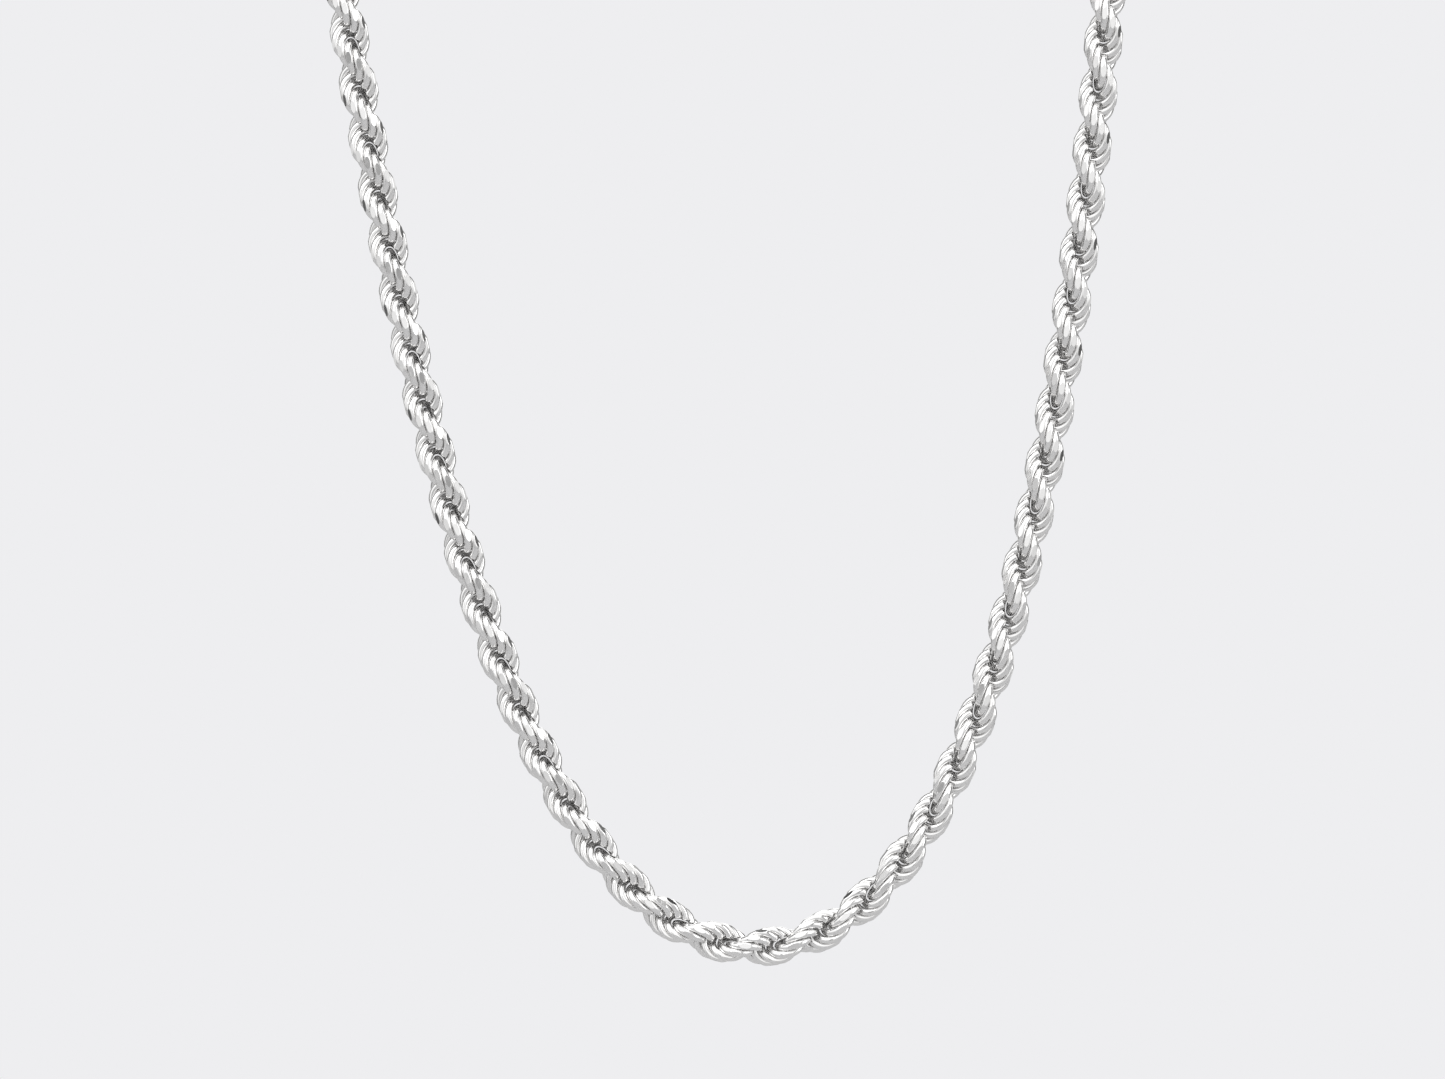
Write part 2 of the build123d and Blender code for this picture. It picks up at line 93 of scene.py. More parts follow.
class Effects:
    """Shader node groups that more than one material uses, each made once."""

    SCRATCH_LAYERS = ((0.35, 26.0, 1.3), (-0.9, 34.0, 7.1))  # turn in radians, stretch, offset
    SCRATCH_TURN_Y, SCRATCH_TURN_Z = 0.6, 1.7  # turns about the other two axes, as shares of the first
    SCRATCH_OFFSET_Y = 2.1  # as a share of the offset along the first axis
    SCRATCH_DETAIL = 3.0
    SCRATCH_STARTS, SCRATCH_FULL = 0.57, 0.72  # noise values between which a scratch appears
    CLOUD_DETAIL, CLOUD_ROUGHNESS, CLOUD_DISTORTION = 4.0, 0.62, 0.4
    MARK_STARTS, MARK_FULL = 0.36, 0.66  # noise values between which a handling mark appears
    # The grey of the hollows is partly tarnished silver and partly painted shade between the links.
    TARNISH_SCALE, TARNISH_DETAIL = 650.0, 5.0
    TARNISH_SHADE_WOBBLE = 0.16  # how far the edge of the tarnished grey and painted shade wanders, in exposure
    TARNISH_SHADE_FULL = 0.12  # exposure below which the tarnished grey and painted shade are complete

    def __init__(self) -> None:
        """Start with no groups made."""
        self._made: dict[str, bpy.types.NodeTree] = {}

    def _new(
        self, name: str, inputs: dict[str, tuple[str, object]], outputs: dict[str, str]
    ) -> bpy.types.NodeTree:
        """Make an empty group with its sockets.

        Args:
            name: The group's name.
            inputs: Socket name to its kind and default value.
            outputs: Socket name to its kind.

        Returns:
            The new node tree.
        """
        tree = bpy.data.node_groups.new(name, "ShaderNodeTree")
        for label, (kind, value) in inputs.items():
            socket = tree.interface.new_socket(label, in_out="INPUT", socket_type=f"NodeSocket{kind}")
            if value is not None:
                socket.default_value = value
        for label, kind in outputs.items():
            tree.interface.new_socket(label, in_out="OUTPUT", socket_type=f"NodeSocket{kind}")
        self._made[name] = tree
        return tree

    def scratches(self) -> bpy.types.NodeTree:
        """Fine polishing scratches that run two ways.

        Returns:
            A group that takes a Vector and a Scale and gives a Height and a Mask.
        """
        name = "PolishScratches"
        if name in self._made:
            return self._made[name]
        tree = self._new(
            name,
            {"Vector": ("Vector", None), "Scale": ("Float", 900.0)},
            {"Height": "Float", "Mask": "Float"},
        )
        make = Wiring(tree)
        enter, leave = make("NodeGroupInput"), make("NodeGroupOutput")
        layers = []
        for turn, stretch, offset in self.SCRATCH_LAYERS:
            place = make("ShaderNodeMapping")
            turns = (turn, turn * self.SCRATCH_TURN_Y, turn * self.SCRATCH_TURN_Z)
            place.inputs["Rotation"].default_value = turns
            place.inputs["Scale"].default_value = (1.0, 1.0 / stretch, 1.0)
            place.inputs["Location"].default_value = (offset, offset * self.SCRATCH_OFFSET_Y, 0.0)
            make.link(enter.outputs["Vector"], place.inputs["Vector"])
            noise = make("ShaderNodeTexNoise")
            noise.inputs["Detail"].default_value = self.SCRATCH_DETAIL
            make.link(place.outputs["Vector"], noise.inputs["Vector"])
            make.link(enter.outputs["Scale"], noise.inputs["Scale"])
            line = make("ShaderNodeMapRange", interpolation_type="SMOOTHSTEP")
            line.inputs["From Min"].default_value = self.SCRATCH_STARTS
            line.inputs["From Max"].default_value = self.SCRATCH_FULL
            make.link(noise.outputs["Fac"], line.inputs["Value"])
            layers.append(line.outputs["Result"])
        both = make("ShaderNodeMath", operation="MAXIMUM")
        make.link(layers[0], both.inputs[0])
        make.link(layers[1], both.inputs[1])
        sunk = make("ShaderNodeMath", operation="MULTIPLY")
        sunk.inputs[1].default_value = -1.0
        make.link(both.outputs[0], sunk.inputs[0])
        make.link(both.outputs[0], leave.inputs["Mask"])
        make.link(sunk.outputs[0], leave.inputs["Height"])
        return tree

    def handling(self) -> bpy.types.NodeTree:
        """Soft cloudy marks that polishing cloths and fingers leave.

        Returns:
            A group that takes a Vector and a Scale and gives a Mask from 0 to 1.
        """
        name = "HandlingMarks"
        if name in self._made:
            return self._made[name]
        tree = self._new(name, {"Vector": ("Vector", None), "Scale": ("Float", 120.0)}, {"Mask": "Float"})
        make = Wiring(tree)
        enter, leave = make("NodeGroupInput"), make("NodeGroupOutput")
        cloud = make("ShaderNodeTexNoise")
        cloud.inputs["Detail"].default_value = self.CLOUD_DETAIL
        cloud.inputs["Roughness"].default_value = self.CLOUD_ROUGHNESS
        cloud.inputs["Distortion"].default_value = self.CLOUD_DISTORTION
        make.link(enter.outputs["Vector"], cloud.inputs["Vector"])
        make.link(enter.outputs["Scale"], cloud.inputs["Scale"])
        spread = make("ShaderNodeMapRange", interpolation_type="SMOOTHSTEP")
        spread.inputs["From Min"].default_value = self.MARK_STARTS
        spread.inputs["From Max"].default_value = self.MARK_FULL
        make.link(cloud.outputs["Fac"], spread.inputs["Value"])
        make.link(spread.outputs["Result"], leave.inputs["Mask"])
        return tree

    def tarnish_and_shade(self) -> bpy.types.NodeTree:
        """Grey that gathers in the hollows of the rope, where nothing rubs the silver and the links shade
        one another: partly tarnished silver, partly painted shade.

        Returns:
            A group that takes how exposed the surface is, from 0 deep inside to 1 outermost, with the two
            colours between which it goes, and gives a Color and a Mask.
        """
        name = "RecessTarnishAndShade"
        if name in self._made:
            return self._made[name]
        tree = self._new(
            name,
            {
                "Vector": ("Vector", None),
                "Exposure": ("Float", 1.0),
                "Clean": ("Color", (0.9, 0.9, 0.9, 1.0)),
                "Dull": ("Color", (0.3, 0.3, 0.3, 1.0)),
                "Reach": ("Float", 0.55),
            },
            {"Color": "Color", "Mask": "Float"},
        )
        make = Wiring(tree)
        enter, leave = make("NodeGroupInput"), make("NodeGroupOutput")
        cloud = make("ShaderNodeTexNoise")
        cloud.inputs["Scale"].default_value = self.TARNISH_SCALE
        cloud.inputs["Detail"].default_value = self.TARNISH_DETAIL
        make.link(enter.outputs["Vector"], cloud.inputs["Vector"])
        wobble = make("ShaderNodeMapRange")
        wobble.inputs["To Min"].default_value = -self.TARNISH_SHADE_WOBBLE
        wobble.inputs["To Max"].default_value = self.TARNISH_SHADE_WOBBLE
        make.link(cloud.outputs["Fac"], wobble.inputs["Value"])
        exposed = make("ShaderNodeMath", operation="ADD")
        make.link(enter.outputs["Exposure"], exposed.inputs[0])
        make.link(wobble.outputs["Result"], exposed.inputs[1])
        fade = make("ShaderNodeMapRange", interpolation_type="SMOOTHSTEP")
        fade.inputs["From Min"].default_value = self.TARNISH_SHADE_FULL
        fade.inputs["To Min"].default_value = 1.0
        fade.inputs["To Max"].default_value = 0.0
        make.link(exposed.outputs[0], fade.inputs["Value"])
        make.link(enter.outputs["Reach"], fade.inputs["From Max"])
        mix = make("ShaderNodeMix", data_type="RGBA")
        make.link(fade.outputs["Result"], mix.inputs["Factor"])
        make.link(enter.outputs["Clean"], make.socket(mix, "A", "RGBA"))
        make.link(enter.outputs["Dull"], make.socket(mix, "B", "RGBA"))
        make.link(make.result(mix), leave.inputs["Color"])
        make.link(fade.outputs["Result"], leave.inputs["Mask"])
        return tree


class Wiring:
    """A short way to add and join nodes in one tree."""

    def __init__(self, tree: bpy.types.NodeTree) -> None:
        """Keep the tree that nodes go into."""
        self.tree = tree

    def __call__(self, kind: str, **settings: object) -> bpy.types.Node:
        """Add a node.

        Args:
            kind: The node's type name.
            **settings: Properties to set on it.

        Returns:
            The new node.
        """
        node = self.tree.nodes.new(kind)
        for name, value in settings.items():
            setattr(node, name, value)
        return node

    def link(self, start: bpy.types.NodeSocket, end: bpy.types.NodeSocket) -> None:
        """Join two sockets."""
        self.tree.links.new(start, end)

    def socket(self, node: bpy.types.Node, name: str, kind: str) -> bpy.types.NodeSocket:
        """Find a Mix node's input of one kind among those that share a name."""
        return next(socket for socket in node.inputs if socket.name == name and socket.type == kind)

    def result(self, node: bpy.types.Node) -> bpy.types.NodeSocket:
        """Find a Mix node's colour output among those that share a name."""
        return next(socket for socket in node.outputs if socket.type == "RGBA")


# ---------------------------------------------------------------------------------------------- finishes


@dataclass(frozen=True)
class SilverFinish:
    """Polished silver: bright where it is rubbed, a little grey in the hollows, where the grey is partly
    tarnished silver and partly painted shade.
    """

    name: str
    # clean is the open silver; dull is the grey of the hollows, partly tarnished silver and partly painted
    # shade.
    clean: tuple[float, float, float] = (0.94, 0.935, 0.93)
    dull: tuple[float, float, float] = (0.82, 0.815, 0.81)
    smooth: float = 0.07
    worn: float = 0.20
    scratch_scale: float = 900.0
    scratch_depth: float = 0.004
    scratch_strength: float = 0.35
    marks_scale: float = 140.0
    marks_share: float = 0.5
    scratch_share: float = 0.4
    reach: float = 0.36
    exposure_layer: str = ""
    edge_radius: float = 0.0
    edge_samples: int = 6

    def build(self, effects: Effects) -> bpy.types.Material:
        """Make the material.

        Args:
            effects: The shared node groups.

        Returns:
            A material whose colour, roughness and bump come from nodes.
        """
        material = bpy.data.materials.new(self.name)
        material.use_nodes = True
        tree = material.node_tree
        make = Wiring(tree)
        shader = tree.nodes["Principled BSDF"]
        shader.inputs["Metallic"].default_value = 1.0
        place = make("ShaderNodeTexCoord")
        scratches = make("ShaderNodeGroup", node_tree=effects.scratches())
        scratches.inputs["Scale"].default_value = self.scratch_scale
        marks = make("ShaderNodeGroup", node_tree=effects.handling())
        marks.inputs["Scale"].default_value = self.marks_scale
        # Grey towards the rope's hollows: partly tarnished silver, partly painted shade between the links.
        tarnish_and_shade = make("ShaderNodeGroup", node_tree=effects.tarnish_and_shade())
        tarnish_and_shade.inputs["Clean"].default_value = (*self.clean, 1.0)
        tarnish_and_shade.inputs["Dull"].default_value = (*self.dull, 1.0)
        tarnish_and_shade.inputs["Reach"].default_value = self.reach
        for group in (scratches, marks, tarnish_and_shade):
            make.link(place.outputs["Object"], group.inputs["Vector"])
        if self.exposure_layer:
            layer = make("ShaderNodeAttribute", attribute_name=self.exposure_layer)
            make.link(layer.outputs["Fac"], tarnish_and_shade.inputs["Exposure"])
        # The base colour carries the painted shade and the tarnished grey of the hollows.
        make.link(tarnish_and_shade.outputs["Color"], shader.inputs["Base Color"])
        wear = self._roughness(make, scratches, marks, tarnish_and_shade)
        make.link(wear, shader.inputs["Roughness"])
        bump = make("ShaderNodeBump")
        bump.inputs["Strength"].default_value = self.scratch_strength
        bump.inputs["Distance"].default_value = self.scratch_depth * MM
        make.link(scratches.outputs["Height"], bump.inputs["Height"])
        if self.edge_radius:
            rounded = make("ShaderNodeBevel")
            rounded.samples = self.edge_samples
            rounded.inputs["Radius"].default_value = self.edge_radius * MM
            make.link(rounded.outputs["Normal"], bump.inputs["Normal"])
        make.link(bump.outputs["Normal"], shader.inputs["Normal"])
        return material

    def _roughness(
        self, make: Wiring, scratches: bpy.types.Node, marks: bpy.types.Node, tarnish_and_shade: bpy.types.Node
    ) -> bpy.types.NodeSocket:
        """Join the scratches, the handling marks and the mask of the tarnished grey and painted shade into
        one roughness.

        Args:
            make: Where the nodes go.
            scratches: The scratch group's node.
            marks: The handling group's node.
            tarnish_and_shade: The node of the group for the tarnished grey and painted shade.

        Returns:
            The socket that gives the roughness.
        """
        base = make("ShaderNodeMapRange")
        base.inputs["To Min"].default_value = self.smooth
        base.inputs["To Max"].default_value = self.smooth + self.marks_share * (self.worn - self.smooth)
        make.link(marks.outputs["Mask"], base.inputs["Value"])
        lines = make("ShaderNodeMath", operation="MULTIPLY_ADD")
        lines.inputs[1].default_value = self.scratch_share * (self.worn - self.smooth)
        make.link(scratches.outputs["Mask"], lines.inputs[0])
        make.link(base.outputs["Result"], lines.inputs[2])
        dull = make("ShaderNodeMath", operation="MULTIPLY_ADD", use_clamp=True)
        dull.inputs[1].default_value = self.worn
        make.link(tarnish_and_shade.outputs["Mask"], dull.inputs[0])
        make.link(lines.outputs[0], dull.inputs[2])
        return dull.outputs[0]


# The rope reads its exposure layer, so its hollows turn grey: partly tarnished silver, partly painted shade.
ROPE_SILVER = SilverFinish("rope silver", exposure_layer=EXPOSURE)
CAST_SILVER = SilverFinish("cast silver", smooth=0.09, worn=0.24, marks_scale=220.0, edge_radius=0.07)
SPRING_WIRE = SilverFinish(
    "spring wire",
    clean=(0.62, 0.62, 0.63),
    dull=(0.2, 0.2, 0.2),
    smooth=0.22,
    worn=0.4,
    edge_radius=0.01,
)


# ---------------------------------------------------------------------------------------------- rope


@dataclass
class HangingLoop:
    """The curve of the rope's centre line: a hanging curve whose sides run into a round arch."""

    length: float = 508.0
    drape_radius: float = 17.25
    half_span: float = 10.675
    first_link: float = 5.3
    side: float = field(init=False)
    side_slope: float = field(init=False)
    arch_radius: float = field(init=False)
    lowest: float = field(init=False)
    half_rope: float = field(init=False)

    def __post_init__(self) -> None:
        """Find the length of the hanging sides that gives the loop its whole length."""
        low, high = self.drape_radius, self.length / 2
        while high - low > LENGTH_TOLERANCE:
            middle = (low + high) / 2
            if self._whole(middle) < self.length:
                low = middle
            else:
                high = middle
        self.side = low
        reach, height, self.side_slope = self._side_end(low)
        self.arch_radius = reach / math.sin(self.side_slope)
        self.lowest = -height - self.arch_radius * math.cos(self.side_slope)
        lean = math.hypot(self.first_link, self.arch_radius)
        cap_angle = math.atan2(self.first_link, self.arch_radius) + math.asin(self.half_span / lean)
        self.half_rope = self.side + self.arch_radius * (math.pi - self.side_slope - cap_angle)

    def _side_end(self, side: float) -> tuple[float, float, float]:
        """Find where a hanging side of some length ends.

        Args:
            side: Its length from the lowest point.

        Returns:
            Half-width, height above the lowest point, and slope angle.
        """
        reach = self.drape_radius * math.asinh(side / self.drape_radius)
        height = math.hypot(side, self.drape_radius) - self.drape_radius
        return reach, height, math.atan2(side, self.drape_radius)

    def _whole(self, side: float) -> float:
        """Return the length of the loop whose hanging sides have this length each."""
        reach, _, slope = self._side_end(side)
        return 2 * (side + reach / math.sin(slope) * (math.pi - slope))

    def at(self, along: float) -> tuple[Vector, Vector, Vector]:
        """Find a place on the centre line.

        Args:
            along: Length from the lowest point, negative on the left as seen from the front.

        Returns:
            The point, the direction of the rope and the direction to the inside of the loop.
        """
        hand = math.copysign(1.0, along)
        length = abs(along)
        if length <= self.side:
            slope = math.atan2(length, self.drape_radius)
            x = self.drape_radius * math.asinh(length / self.drape_radius)
            z = self.lowest + math.hypot(length, self.drape_radius) - self.drape_radius
        else:
            slope = self.side_slope + (length - self.side) / self.arch_radius
            x = self.arch_radius * math.sin(slope)
            z = -self.arch_radius * math.cos(slope)
        tangent = Vector((math.cos(slope), 0.0, hand * math.sin(slope)))
        inward = Vector((-hand * math.sin(slope), 0.0, math.cos(slope)))
        return Vector((hand * x, 0.0, z)), tangent, inward


@dataclass
class RopeLink:
    """One open link of the rope: round wire bent to a C, with a flat diamond cut on each side.

    Its plane is XY, the rope runs along Y and the opening is at the end of that axis.
    """

    rope_width: float = 5.0
    wire: float = 0.9
    opening_clearance: float = 0.32
    facet_depth: float = 0.12
    around: int = 16
    facet_sections: int = 12
    back_sections: int = 24
    end_sections: int = 8
    least_strip: float = 0.12
    facing_share: float = 0.38

    @property
    def radius(self) -> float:
        """Mean radius of the link."""
        return (self.rope_width - self.wire) / 2

    def _section_angles(self) -> np.ndarray:
        """Place the sections along the wire, closest together on the two flats.

        Returns:
            Angles round the link from one cut end to the other.
        """
        half_opening = (self.wire + self.opening_clearance / 2) / self.radius
        start, end = math.pi / 2 + half_opening, 5 * math.pi / 2 - half_opening
        flat = math.acos((self.rope_width / 2 - self.facet_depth) / (self.rope_width / 2))
        bow = flat * np.sin(np.linspace(-math.pi / 2, math.pi / 2, self.facet_sections + 1))
        spans = [
            np.linspace(start, math.pi - flat, self.end_sections + 1)[:-1],
            math.pi + bow,
            np.linspace(math.pi + flat, 2 * math.pi - flat, self.back_sections + 1)[1:-1],
            2 * math.pi + bow,
            np.linspace(2 * math.pi + flat, end, self.end_sections + 1)[1:],
        ]
        return np.concatenate(spans)

    def mesh_parts(self) -> tuple[np.ndarray, np.ndarray, np.ndarray, np.ndarray]:
        """Work out one link's mesh.

        Returns:
            Vertices, quads, whether each quad is flat, and each vertex's exposure, from 0 deep inside to 1
            outermost.
        """
        theta = self._section_angles()[:, None]
        half_wire = self.wire / 2
        flat_at = self.rope_width / 2 - self.facet_depth
        reach = np.clip((flat_at / np.abs(np.cos(theta)) - self.radius) / half_wire, -1.0, 1.0)
        border = np.maximum(np.arccos(reach), self.least_strip)
        share = np.linspace(0.0, 1.0, self.around)[None, :]
        phi = border + (2 * math.pi - 2 * border) * share
        out = self.radius + half_wire * np.cos(phi)
        points = np.stack([out * np.cos(theta), out * np.sin(theta), half_wire * np.sin(phi)], axis=-1)
        sections = len(theta)
        here = np.arange(sections - 1)[:, None] * self.around + np.arange(self.around)[None, :]
        beside = np.roll(here, -1, axis=1)
        quads = np.stack([here, here + self.around, beside + self.around, beside], axis=-1).reshape(-1, 4)
        cut = border[:, 0] > self.least_strip
        flat = np.zeros((sections - 1, self.around), dtype=bool)
        flat[:, -1] = cut[1:] | cut[:-1]
        return points.reshape(-1, 3), quads, flat.ravel(), self._exposure(points, theta, phi).ravel()

    def _exposure(self, points: np.ndarray, theta: np.ndarray, phi: np.ndarray) -> np.ndarray:
        """Work out how exposed each point is to the cloth that polishes the rope and to the light, which
        sets the grey of its hollows: partly tarnished silver, partly painted shade.

        Args:
            points: The points of the sections.
            theta: The sections' angles round the link.
            phi: The points' angles round the wire.

        Returns:
            A value for each point, from how far out it lies and how far out it faces.
        """
        from_axis = np.hypot(points[..., 0], points[..., 2])
        normal_x = np.cos(phi) * np.cos(theta)
        outward = normal_x * points[..., 0] + np.sin(phi) * points[..., 2]
        facing = outward / np.maximum(from_axis, LEAST_RADIUS)
        outermost = np.clip(from_axis / (self.rope_width / 2), 0.0, 1.0)
        return outermost * ((1.0 - self.facing_share) + self.facing_share * facing)


@dataclass
class RopeChain:
    """The whole rope: one mesh for each of the CAD part's lengths of links."""

    loop: HangingLoop = field(default_factory=HangingLoop)
    link: RopeLink = field(default_factory=RopeLink)
    link_clearance: float = 0.05
    link_slack: float = 1.07
    lay_stretch: float = 1.026
    lay_start: float = math.radians(-31.0)
    bend_levels: int = 7
    bend_length: float = 13.0
    bottom_half_length: float = 18.0
    arch_lead: float = 4.0
    arch_nodes: int = 3
    bottom_nodes: int = 3

    def __post_init__(self) -> None:
        """Share the links out along the loop."""
        pitch = (self.link.wire + self.link_clearance) * self.link_slack
        self.count = int(2 * self.loop.half_rope / pitch) + 1
        self.step = 2 * self.loop.half_rope / (self.count - 1)

    def _along(self, index: float) -> float:
        """Return the place of a link, by number from the left end, as a length from the lowest point."""
        return self.step * index - self.loop.half_rope

    def lengths(self) -> list[tuple[str, int, int]]:
        """List the rope's lengths between its ends and bends.

        Returns:
            Each CAD node's name, its first link and how many links it has.
        """
        arch = round((self.loop.half_rope - self.loop.side + self.arch_lead) / self.step)
        bend = round(self.bend_length / self.step)
        bottom = round(self.bottom_half_length / self.step)
        run = (self.count // 2 - arch - self.bend_levels * bend - bottom) // (self.bend_levels - 1)
        halves = [(f"arch_rope_{{}}_{n + 1}", arch // self.arch_nodes) for n in range(self.arch_nodes)]
        halves[0] = (halves[0][0], arch - (self.arch_nodes - 1) * (arch // self.arch_nodes))
        for level in range(1, self.bend_levels + 1):
            halves.append((f"bend_{{}}_{level}", bend))
            if level < self.bend_levels:
                halves.append((f"run_{{}}_{level}", run))
        nodes, first = [], 0
        for name, links in halves:
            nodes.append((name.format(Side.LEFT.value), first, links))
            nodes.append((name.format(Side.RIGHT.value), self.count - first - links, links))
            first += links
        left_over = self.count - 2 * first
        outer = left_over // self.bottom_nodes
        nodes.append(("bottom_left", first, outer))
        nodes.append(("bottom_centre", first + outer, left_over - 2 * outer))
        nodes.append(("bottom_right", self.count - first - outer, outer))
        return nodes

    def _frames(self, first: int, links: int) -> tuple[np.ndarray, np.ndarray]:
        """Place some links.

        Args:
            first: Number of the first link.
            links: How many follow one another.

        Returns:
            Their turns, as one matrix of axes each, and their centres.
        """
        turns, centres = [], []
        for index in range(first, first + links):
            along = self._along(index)
            point, tangent, inward = self.loop.at(along)
            turn = self.lay_start + along / (self.lay_stretch * self.link.radius)
            across = inward * math.cos(turn) + Vector((0.0, 1.0, 0.0)) * math.sin(turn)
            turns.append([across, tangent, across.cross(tangent)])
            centres.append(point)
        return np.array(turns), np.array(centres)

    def build(self, finish: bpy.types.Material) -> list[bpy.types.Object]:
        """Make every length of the rope.

        Args:
            finish: Its material.

        Returns:
            The new objects, each riding on its body, except the lengths at the bends, which stay where they
            are made.
        """
        parts = self.link.mesh_parts()
        made = []
        for name, first, links in self.lengths():
            piece = self._length_of_rope(f"{name}_links", first, links, parts)
            piece.data.materials.append(finish)
            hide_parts(name)
            self._fasten(piece, name, first, links)
            made.append(piece)
        return made

    def _length_of_rope(
        self, name: str, first: int, links: int, parts: tuple[np.ndarray, np.ndarray, np.ndarray, np.ndarray]
    ) -> bpy.types.Object:
        """Make one length of rope as one mesh.

        Args:
            name: The new object's name.
            first: Number of its first link.
            links: How many links it has.
            parts: One link's vertices, quads, flats and exposures.

        Returns:
            The new object.
        """
        points, quads, flat, exposure = parts
        turns, centres = self._frames(first, links)
        placed = np.einsum("vj,njk->nvk", points, turns) + centres[:, None, :]
        starts = np.arange(links)[:, None] * len(points)
        around = np.arange(self.link.around)
        ends = np.stack([around, around[::-1] + len(points) - self.link.around])
        corners = [
            (starts[:, :, None] + quads[None]).reshape(-1),
            (starts[:, :, None] + ends[None]).reshape(-1),
        ]
        quad_count, end_count = links * len(quads), 2 * links
        sizes = np.concatenate([np.full(quad_count, 4), np.full(end_count, self.link.around)])
        smooth = np.concatenate([~np.tile(flat, links), np.zeros(end_count, dtype=bool)])
        mesh = bpy.data.meshes.new(name)
        mesh.vertices.add(links * len(points))
        mesh.vertices.foreach_set("co", (placed * MM).astype(np.float32).ravel())
        mesh.loops.add(int(sizes.sum()))
        mesh.loops.foreach_set("vertex_index", np.concatenate(corners).astype(np.int32))
        mesh.polygons.add(len(sizes))
        loop_starts = np.concatenate([[0], np.cumsum(sizes)[:-1]])
        mesh.polygons.foreach_set("loop_start", loop_starts.astype(np.int32))
        mesh.polygons.foreach_set("use_smooth", smooth)
        layer = mesh.attributes.new(EXPOSURE, "FLOAT", "POINT")
        layer.data.foreach_set("value", np.tile(exposure, links).astype(np.float32))
        mesh.update(calc_edges=True)
        mesh.validate()
        piece = bpy.data.objects.new(name, mesh)
        bpy.context.scene.collection.objects.link(piece)
        return piece

    def _fasten(self, piece: bpy.types.Object, name: str, first: int, links: int) -> None:
        """Put a length of rope on the body that carries it; a length at a bend stays where it is made.

        Args:
            piece: The length of rope.
            name: The CAD node that it stands for.
            first: Number of its first link.
            links: How many links it has.
        """
        if name.startswith("bend_"):
            tips = [self.loop.at(self._along(index))[0] * MM for index in (first - 0.5, first + links - 0.5)]
            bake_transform(piece)
        elif name.startswith("run_"):
            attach(piece, f"drape_{name.rsplit('_', 1)[1]}")
        elif name.startswith("bottom_"):
            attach(piece, f"drape_{self.bend_levels}")
        else:
            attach(piece, "neck_arch")


# ---------------------------------------------------------------------------------------------- fittings


@dataclass
class CrownedClasp:
    """Casing and lever of the clasp: castings with crowned faces and edges worn soft by polishing."""

    hook_radius: float = 3.6
    eye_radius: float = 1.75
    eye_reach: float = 9.0
    mouth_half_length: float = 2.7
    mouth_half_height: float = 2.0
    centre_x: float = 2.875
    centre_z: float = 50.675
    grain: float = 0.06
    smoothing: int = 6
    smoothing_share: float = 0.5
    polished_off: float = 0.02
    crown: float = 0.30
    crown_reach: float = 1.5

    def build(
        self, nodes: dict[str, bpy.types.Object], finish: bpy.types.Material
    ) -> list[bpy.types.Object]:
        """Make both castings.

        Args:
            nodes: The CAD part's objects by name.
            finish: Their material.

        Returns:
            The new objects, each riding on its body.
        """
        made = []
        for name, body in (("clasp_casing", "clasp"), ("clasp_lever", "clasp_lever")):
            piece = self._even_mesh(nodes[name], f"{name}_cast")
            self._crown(piece.data)
            piece.data.materials.clear()
            piece.data.materials.append(finish)
            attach(piece, body)
            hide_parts(name)
            made.append(piece)
        return made

    def _even_mesh(self, node: bpy.types.Object, name: str) -> bpy.types.Object:
        """Copy a node's shape as an even, lightly smoothed mesh.

        Args:
            node: The CAD part's object.
            name: The new object's name.

        Returns:
            The new object.
        """
        mesh = node.data.copy()
        mesh.transform(node.matrix_world)
        rough = bpy.data.objects.new(f"{name}_rough", mesh)
        bpy.context.scene.collection.objects.link(rough)
        remesh = rough.modifiers.new("even", "REMESH")
        remesh.mode = "VOXEL"
        remesh.voxel_size = self.grain * MM
        remesh.use_smooth_shade = True
        soften = rough.modifiers.new("soften", "SMOOTH")
        soften.iterations = self.smoothing
        soften.factor = self.smoothing_share
        worn = rough.modifiers.new("worn", "DISPLACE")
        worn.mid_level = 0.0
        worn.strength = -self.polished_off * MM
        graph = bpy.context.evaluated_depsgraph_get()
        even = bpy.data.meshes.new_from_object(rough.evaluated_get(graph))
        bpy.data.objects.remove(rough)
        piece = bpy.data.objects.new(name, even)
        bpy.context.scene.collection.objects.link(piece)
        return piece

    def _crown(self, mesh: bpy.types.Mesh) -> None:
        """Thin a casting towards its outline and its mouth, so that its faces are crowned.

        Args:
            mesh: The casting's mesh.
        """
        points = np.empty(len(mesh.vertices) * 3)
        mesh.vertices.foreach_get("co", points)
        points = points.reshape(-1, 3)
        inside = np.clip(self._depth_inside(points / MM) / self.crown_reach, 0.0, 1.0)
        points[:, 1] *= 1.0 - self.crown * (1.0 - inside) ** 2
        mesh.vertices.foreach_set("co", points.astype(np.float32).ravel())
        mesh.update()

    def _depth_inside(self, points: np.ndarray) -> np.ndarray:
        """Measure how far points lie inside the clasp's outline, seen from the front.

        Args:
            points: Points in millimetres.

        Returns:
            The distance to the nearer of the outer outline and the mouth's edge.
        """
        along = self.centre_x - points[:, 0]
        up = np.abs(points[:, 2] - self.centre_z)
        lean = (self.hook_radius - self.eye_radius) / self.eye_reach
        side = math.sqrt(1.0 - lean * lean)
        past = side * along - lean * up
        outer = self.hook_radius - (side * up + lean * along)
        outer = np.where(past < 0.0, self.hook_radius - np.hypot(up, along), outer)
        near_eye = past > side * self.eye_reach
        outer = np.where(near_eye, self.eye_radius - np.hypot(up, along - self.eye_reach), outer)
        mouth = np.hypot(along / self.mouth_half_length, up / self.mouth_half_height) - 1.0
        return np.maximum(np.minimum(outer, mouth * self.mouth_half_height), 0.0)


